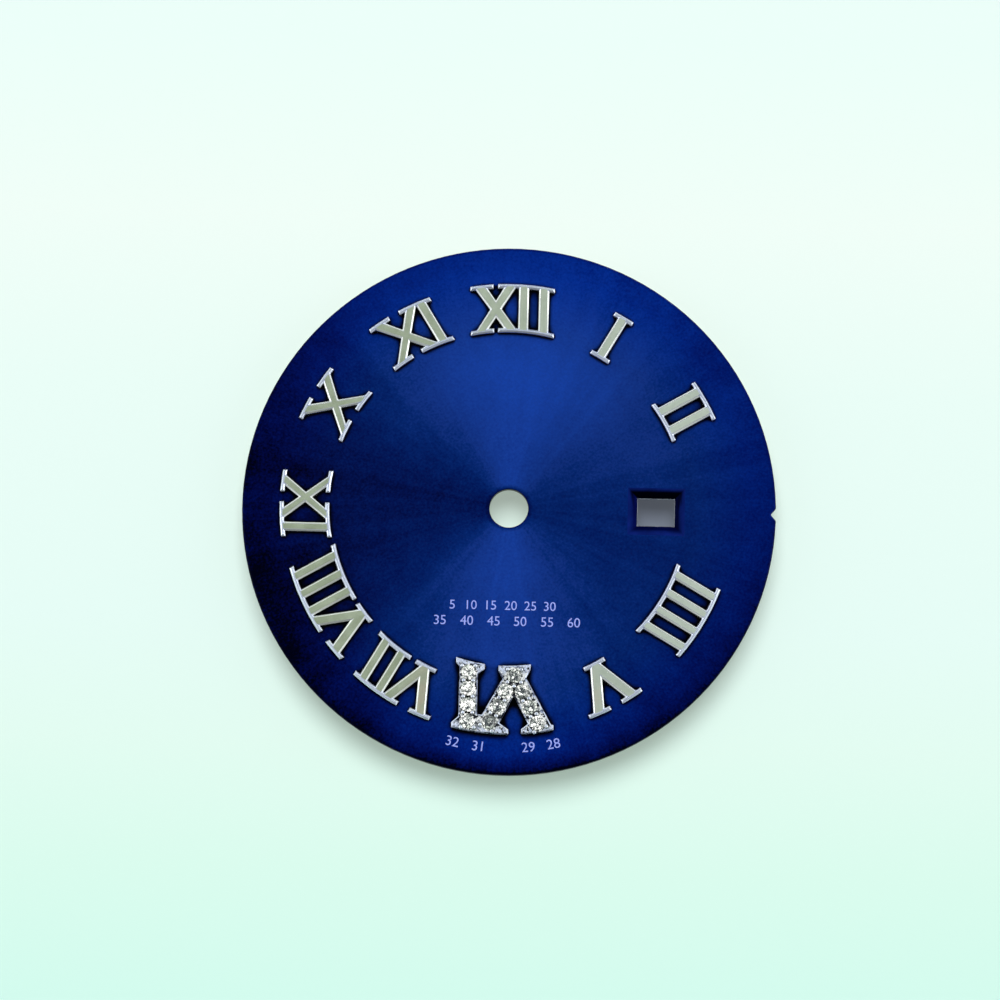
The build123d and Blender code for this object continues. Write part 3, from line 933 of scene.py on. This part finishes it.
def buildCuts(level):
    # the graver's cuts round each stone: flat rings with painted glints, and painted shade where two stones
    # meet
    bm = bmesh.new()
    for stone in stoneMiddles.values():
        place = Matrix.Translation((stone.x, stone.y, level))
        corners = []
        for radius in (cutLook["inner"], cutLook["outer"]):
            ring = bmesh.ops.create_circle(bm, segments=cutLook["segments"], radius=radius, matrix=place)
            corners += ring["verts"]
        edges = dict.fromkeys(edge for corner in corners for edge in corner.link_edges)
        bmesh.ops.bridge_loops(bm, edges=list(edges))
    turned = [face for face in bm.faces if face.normal.z < 0]
    bmesh.ops.reverse_faces(bm, faces=turned)
    gap = bm.faces.layers.float.new("gap")
    for face in bm.faces:
        secondStone = stoneReaches(face.calc_center_median())[1]
        face[gap] = 1.0 if secondStone < cutLook["gapReach"] else 0.0
    finishPiece(bm, "stone_cut_lines", (brightCut,))


beadLook = {
    "radius": 0.145,
    "flatness": 0.9,
    "topRise": 0.1316,  # from a bead's middle to the flat top of its solid
    "segments": 20,
    "rings": 12,
    # in metres: how near to the highest level a top lies, and how wide it can be
    "topWithin": 0.000002,
    "topWidth": 0.00012,
}


def beadTops():
    # the flat tops of the setting's beads are its highest points
    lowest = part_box("numeral_6_setting")[1].z - beadLook["topWithin"]
    tops = []
    for vert in nodes["numeral_6_setting"].data.vertices:
        if vert.co.z < lowest:
            continue
        near = [group for group in tops if (group[0] - vert.co).length < beadLook["topWidth"]]
        if near:
            near[0].append(vert.co.copy())
        else:
            tops.append([vert.co.copy()])
    return [sum(group, Vector()) / len(group) / mm for group in tops]


def buildBeads():
    bm = bmesh.new()
    tops = beadTops()
    for top in tops:
        place = Matrix.Translation((top.x, top.y, top.z - beadLook["topRise"]))
        bmesh.ops.create_uvsphere(
            bm, u_segments=beadLook["segments"], v_segments=beadLook["rings"], radius=beadLook["radius"],
            matrix=place @ Matrix.Diagonal((1, 1, beadLook["flatness"], 1)),
        )
    finishPiece(bm, "setting_beads", (burnishedBead,))
    return len(tops)


facetLight = random.Random(stoneLook["seed"])


def buildStone(node, index):
    # turned and tilted as set by hand, and kept as high as its solid
    bm = copyNode(node)
    middle = stoneMiddles[node]
    turn = Matrix.Rotation(math.radians(stoneLook["turn"] * index), 4, "Z")
    aside = math.radians(stoneLook["tiltTurn"] * index)
    axis = Vector((math.cos(aside), math.sin(aside), 0))
    tilt = Matrix.Rotation(math.radians(stoneLook["tilt"]), 4, axis)
    level = max(vert.co.z for vert in bm.verts)
    place = Matrix.Translation(middle) @ tilt @ turn @ Matrix.Translation(-middle)
    bmesh.ops.transform(bm, matrix=place, verts=bm.verts)
    rise = max(vert.co.z for vert in bm.verts) - level
    bmesh.ops.translate(bm, vec=(0, 0, -rise), verts=bm.verts)
    piece = finishPiece(bm, node + "_set", (clearStone,), (node,))
    # painted sparkle: each facet's share of light
    paintedSparkle = piece.data.attributes.new("paintedSparkle", "FLOAT", "FACE")
    for face, share in zip(piece.data.polygons, paintedSparkle.data):
        face.use_smooth = False
        share.value = stoneLook["table"] if face.area > stoneLook["tableArea"] else facetLight.random()


buildCuts(buildSetting() + cutLook["rise"])
print("beads:", buildBeads())
for index, node in enumerate(stoneNodes):
    buildStone(node, index)

for node in ("dial_foot_a", "dial_foot_b"):
    dress(node, drawnBrass)
print("setting, stones and feet dressed")


# Printed minute numbers in pale ink

printLook = {
    "inkThickness": 0.008,
    "curveSteps": 6,
    "numberWidth": 1.5,  # of its height
    "rows": (
        {"numbers": (5, 10, 15, 20, 25, 30), "middle": (-0.33, -6.06), "width": 6.84, "height": 0.56},
        {"numbers": (35, 40, 45, 50, 55, 60), "middle": (0.05, -7.03), "width": 9.1, "height": 0.58},
    ),
    "minutes": (31, 32, 28, 29),
    "minuteRing": 14.82,
    "minuteHeight": 0.60,
}


def flatText(text):
    curve = bpy.data.curves.new("printed", "FONT")
    curve.body = text
    curve.align_x = "CENTER"
    curve.align_y = "CENTER"
    curve.resolution_u = printLook["curveSteps"]
    maker = bpy.data.objects.new("printed", curve)
    scene.collection.objects.link(maker)
    bpy.context.view_layer.update()
    mesh = bpy.data.meshes.new_from_object(maker.evaluated_get(bpy.context.evaluated_depsgraph_get()))
    bpy.data.objects.remove(maker)
    return mesh


def addNumber(bm, number, height, place, turn=0.0):
    mesh = flatText(str(number))
    low = Vector([min(vert.co[axis] for vert in mesh.vertices) for axis in (0, 1)])
    high = Vector([max(vert.co[axis] for vert in mesh.vertices) for axis in (0, 1)])
    scale = height / (high.y - low.y)
    centre = (low + high) / 2
    mesh.transform(
        Matrix.Translation((*place, plateTop))
        @ Matrix.Rotation(turn, 4, "Z")
        @ Matrix.Diagonal((scale, scale, 1, 1))
        @ Matrix.Translation((-centre.x, -centre.y, 0))
    )
    bm.from_mesh(mesh)


def buildPrint():
    bm = bmesh.new()
    for row in printLook["rows"]:
        x, y = row["middle"]
        span = row["width"] - printLook["numberWidth"] * row["height"]
        for index, number in enumerate(row["numbers"]):
            share = index / (len(row["numbers"]) - 1) - 0.5
            addNumber(bm, number, row["height"], (x + span * share, y))
    ring = printLook["minuteRing"]
    for minute in printLook["minutes"]:
        turn = math.radians(6 * (minute - 30))  # six degrees a minute, on from the bottom
        place = (-ring * math.sin(turn), -ring * math.cos(turn))
        addNumber(bm, minute, printLook["minuteHeight"], place, -turn)
    bmesh.ops.remove_doubles(bm, verts=bm.verts, dist=meshLook["merge"])
    raised = bmesh.ops.extrude_face_region(bm, geom=bm.faces[:])
    lifted = [item for item in raised["geom"] if isinstance(item, bmesh.types.BMVert)]
    bmesh.ops.translate(bm, vec=(0, 0, printLook["inkThickness"]), verts=lifted)
    bmesh.ops.recalc_face_normals(bm, faces=bm.faces)
    finishPiece(bm, "printed_minutes", (lavenderInk,))


buildPrint()
print("minute numbers printed")


# Floor

backdrop = {
    "size": 6000,  # millimetres
    # place from six o'clock to twelve o'clock in metres, and the colour there
    "stops": (
        (-0.031, (0.670, 1.0, 0.885)),
        (-0.022, (0.725, 1.0, 0.880)),
        (-0.0144, (0.785, 1.0, 0.905)),
        (-0.007, (0.807, 1.0, 0.939)),
        (0.008, (0.832, 1.0, 0.939)),
        (0.019, (0.879, 1.0, 0.941)),
        (0.031, (0.839, 1.0, 0.947)),
    ),
    "glow": 0.35,
    # painted shade: between these rings, under the plate, the floor is a darker grey with less glow; inside
    # the inner ring, under the hand hole, painted light
    "outside": (0.0135, 0.0165, 0, 1),
    "inside": (0.0025, 0.006, 1, 0),
    "shade": (0.22, 0.255, 0.33),
    "shadeGlow": 0.28,
    # farther out the floor glows by itself, so that it meets the backdrop evenly in a low view
    "farGlow": (0.08, 0.8, 0.0, 1.0),
}


def backdropRay(tree):
    # what the camera, metal and glass see, apart from what lights the dial
    path = addNode(tree, "ShaderNodeLightPath")
    ray = path.outputs["Is Camera Ray"]
    for title in ("Is Glossy Ray", "Is Transmission Ray"):
        ray = mathNode(tree, "MAXIMUM", ray, path.outputs[title])
    return ray


def makeFloorPaint():
    material, tree = newTree("paleFloor")
    flat, radius = flatPlace(tree)
    low, high = backdrop["stops"][0][0], backdrop["stops"][-1][0]
    tones = [((stop - low) / (high - low), tone) for stop, tone in backdrop["stops"]]
    gradient = toneRamp(tree, rangeNode(tree, splitVector(tree, flat)[1], low, high, 0, 1), tones)
    shares = (rangeNode(tree, radius, *backdrop[key]) for key in ("outside", "inside", "farGlow"))
    outside, inside, far = shares
    # painted shade under the plate, and painted light under the hand hole
    lit = mathNode(tree, "ADD", outside, inside, clamp=True)
    colour = mixColour(tree, lit, backdrop["shade"], gradient)
    matte = addNode(tree, "ShaderNodeBsdfDiffuse", {"Color": colour}).outputs[0]
    glow = addNode(tree, "ShaderNodeEmission", {"Color": colour}).outputs[0]
    glowing = rangeNode(tree, lit, 0, 1, backdrop["shadeGlow"], backdrop["glow"])
    share = mathNode(tree, "MAXIMUM", glowing, far)
    seen = addNode(tree, "ShaderNodeMixShader", {0: share, 1: matte, 2: glow}).outputs[0]
    choice = addNode(tree, "ShaderNodeMixShader", {0: backdropRay(tree), 1: matte, 2: seen})
    addNode(tree, "ShaderNodeOutputMaterial", {"Surface": choice.outputs[0]})
    return material


def buildFloor():
    bm = bmesh.new()
    bmesh.ops.create_grid(bm, x_segments=1, y_segments=1, size=backdrop["size"] / 2)
    bmesh.ops.translate(bm, vec=(0, 0, feetTips), verts=bm.verts)
    bmesh.ops.scale(bm, vec=(mm,) * 3, verts=bm.verts)
    mesh = bpy.data.meshes.new("floor")
    bm.to_mesh(mesh)
    bm.free()
    floor = bpy.data.objects.new("floor", mesh)
    scene.collection.objects.link(floor)
    mesh.materials.append(makeFloorPaint())


# World: bright walls to the left and right, darker ones beyond twelve and six o'clock

studio = {
    "light": (0.12, 0.12, 0.12),
    "zenith": (0.26, 0.29, 0.36),
    "sides": (0.97, 1.0, 1.03),
    "twelve": (0.34, 0.37, 0.40),
    "six": (0.14, 0.15, 0.16),
    "horizonSides": (1.0, 1.03, 1.06),
    "horizonTwelve": (1.05, 1.10, 1.05),
    "horizonSix": (0.18, 0.19, 0.18),
    "towardsTwelve": (-0.2, 0.2, 0, 1),
    "wallTop": (0.55, 0.93, 0, 1),
    "wallFoot": (0.12, 0.42, 0, 1),
    "leastFlat": 0.0001,  # keeps the zenith from a division by nought
    # the stones look out on lamps and dark corners
    "cornerSize": 2.2,
    "cornerDetail": 1.5,
    "corners": (0.46, 0.52, 0.02, 2.3),
}


def buildWorld():
    world = bpy.data.worlds.new("studio")
    scene.world = world
    world.use_nodes = True
    tree = world.node_tree
    tree.nodes.clear()
    place = ownPlace(tree, "Generated")
    x, y, height = splitVector(tree, place)
    squareX = mathNode(tree, "MULTIPLY", x, x)
    squareY = mathNode(tree, "MULTIPLY", y, y)
    flat = mathNode(tree, "MAXIMUM", mathNode(tree, "ADD", squareX, squareY), studio["leastFlat"])
    sideways = mathNode(tree, "DIVIDE", squareX, flat)
    toTwelve = rangeNode(tree, y, *studio["towardsTwelve"])
    ends = mixColour(tree, toTwelve, studio["six"], studio["twelve"])
    walls = mixColour(tree, sideways, ends, studio["sides"])
    horizonEnds = mixColour(tree, toTwelve, studio["horizonSix"], studio["horizonTwelve"])
    horizon = mixColour(tree, sideways, horizonEnds, studio["horizonSides"])
    sky = mixColour(tree, rangeNode(tree, height, *studio["wallTop"]), walls, studio["zenith"])
    sky = mixColour(tree, rangeNode(tree, height, *studio["wallFoot"]), horizon, sky)
    noise = noiseNode(tree, place, studio["cornerSize"], studio["cornerDetail"])
    corners = rangeNode(tree, noise, *studio["corners"])
    throughGlass = addNode(tree, "ShaderNodeLightPath").outputs["Is Transmission Ray"]
    sky = mixColour(tree, throughGlass, sky, corners)
    colour = mixColour(tree, backdropRay(tree), studio["light"], sky)
    shade = addNode(tree, "ShaderNodeBackground", {"Color": colour})
    addNode(tree, "ShaderNodeOutputWorld", {"Surface": shade.outputs[0]})


buildFloor()
buildWorld()
print("floor and world made")


# Lamps: places and sizes in millimetres, aimed at the dial

lamps = {
    "keyFromTwelve": {"place": (-20, 405, 914), "size": (640, 760), "power": 9.1, "glossy": False},
    "stripLeft": {"place": (-840, 0, 440), "size": (300, 1200), "power": 1.2, "glossy": True},
    "stripRight": {"place": (840, 60, 440), "size": (300, 1200), "power": 1.5, "glossy": True},
}


def buildLamps():
    for name, look in lamps.items():
        light = bpy.data.lights.new(name, "AREA")
        light.shape = "RECTANGLE" if look["glossy"] else "ELLIPSE"
        light.size, light.size_y = (value * mm for value in look["size"])
        light.energy = look["power"]
        lamp = bpy.data.objects.new(name, light)
        scene.collection.objects.link(lamp)
        lamp.location = Vector(look["place"]) * mm
        lamp.rotation_mode = "QUATERNION"
        lamp.rotation_quaternion = (-lamp.location).to_track_quat("-Z", "Y")
        lamp.visible_glossy = look["glossy"]
        lamp.visible_transmission = look["glossy"]


# Camera: lengths in millimetres, turns in degrees; it leans towards six o'clock

cameraLook = {
    "distance": 203.33,
    "lean": 9.345,
    "azimuth": -86.872,
    "roll": 1.449,
    "lens": 118.515,
    "sensor": 36,
    "nearest": 1,
    "aimAside": -0.547,
    "aimUp": 0.505,
}


def buildCamera():
    lean, azimuth, roll = (math.radians(cameraLook[key]) for key in ("lean", "azimuth", "roll"))
    level = math.sin(lean)
    back = Vector((level * math.cos(azimuth), level * math.sin(azimuth), math.cos(lean)))
    upright = (Vector((0, 1, 0)) - back * back.y).normalized()
    aside = upright.cross(back)
    right = math.cos(roll) * aside + math.sin(roll) * upright
    up = -math.sin(roll) * aside + math.cos(roll) * upright
    middle = Vector((0, 0, plateTop))
    place = middle + back * cameraLook["distance"]
    target = middle + right * cameraLook["aimAside"] + up * cameraLook["aimUp"]
    back = (place - target).normalized()
    right = up.cross(back).normalized()
    up = back.cross(right)
    data = bpy.data.cameras.new("camera")
    data.lens = cameraLook["lens"]
    data.sensor_width = cameraLook["sensor"]
    data.clip_start = cameraLook["nearest"] * mm
    camera = bpy.data.objects.new("camera", data)
    scene.collection.objects.link(camera)
    turn = Matrix((right, up, back)).transposed()
    camera.matrix_world = Matrix.Translation(place * mm) @ turn.to_4x4()
    scene.camera = camera


buildLamps()
buildCamera()
print("lamps and camera placed")
